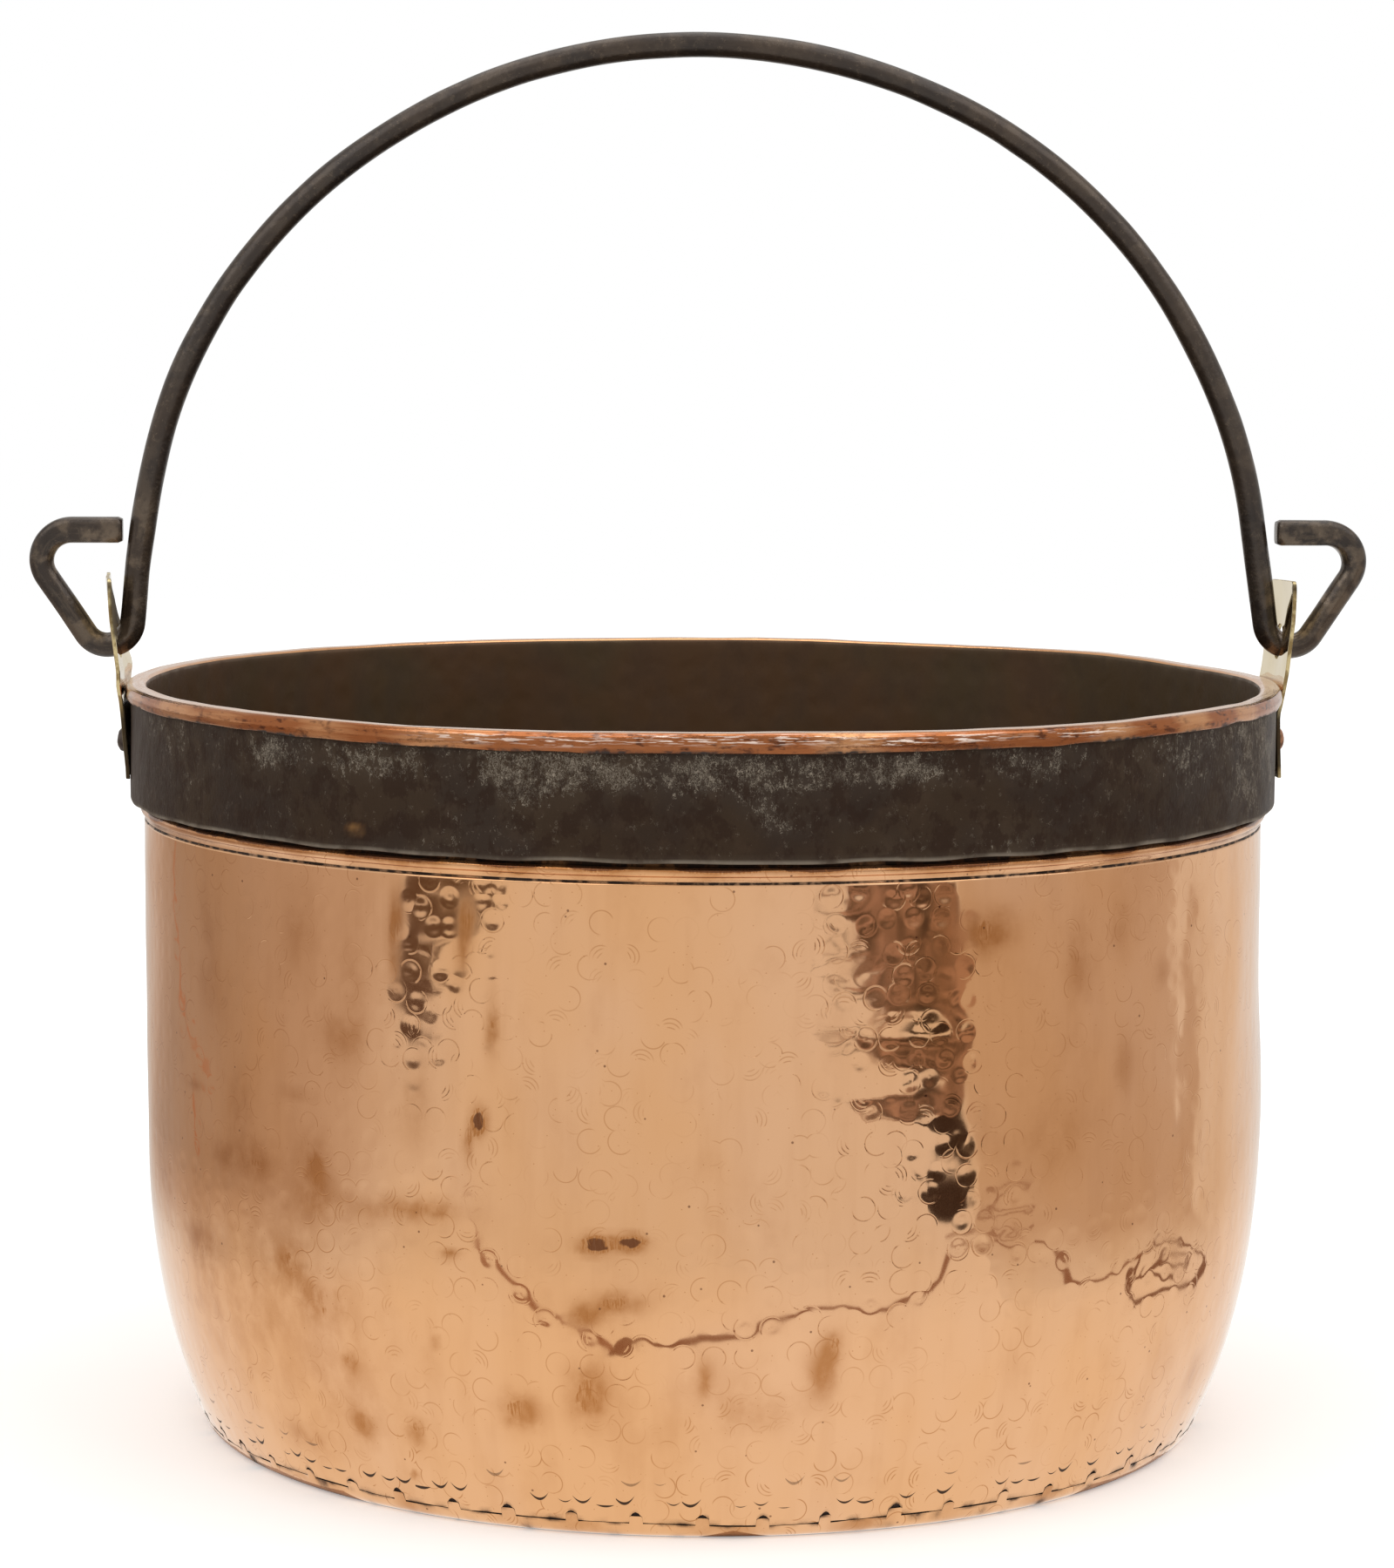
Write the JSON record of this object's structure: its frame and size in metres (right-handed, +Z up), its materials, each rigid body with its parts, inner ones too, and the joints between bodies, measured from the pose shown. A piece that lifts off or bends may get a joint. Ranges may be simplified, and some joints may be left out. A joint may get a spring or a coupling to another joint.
{
  "type": "copper and iron pot",
  "caption": "Large round hammered copper pot with an iron hoop under its turned rim, a cramped base seam, riveted brass ears and a swinging hooked iron bail.",
  "frame": {"origin": "centre of the flat underside, which rests on the floor", "axes": "+Z up along the pot's axis; the ears and the upright bail stand along X; the picture looks along +Y"},
  "size_m": [0.6502, 0.5582, 0.6712],
  "materials": {
    "copper": "hammered copper, polished outside, dark inside",
    "hoop_iron": "wrought iron, dark brown-black with pale worn patches",
    "ear_brass": "polished brass",
    "rivet_copper": "tarnished copper",
    "rivet_iron": "dark iron",
    "bail_iron": "wrought iron, satin, rubbed on the hooks"
  },
  "bodies": {
    "pot": {"pot_wall": "copper", "base_pan": "copper", "iron_band": "hoop_iron", "ear_right": "ear_brass", "ear_left": "ear_brass", "rivet_right_front": "rivet_copper", "rivet_right_back": "rivet_copper", "rivet_left_front": "rivet_iron", "rivet_left_back": "rivet_iron"},
    "bail": {"bail": "bail_iron"}
  },
  "joints": [
    {"name": "bail_swing", "type": "hinge", "parent": "pot", "child": "bail", "pos_m": [0, 0, 0.3786], "axis": [1, 0, 0], "range_deg": [-94, 94]}
  ]
}
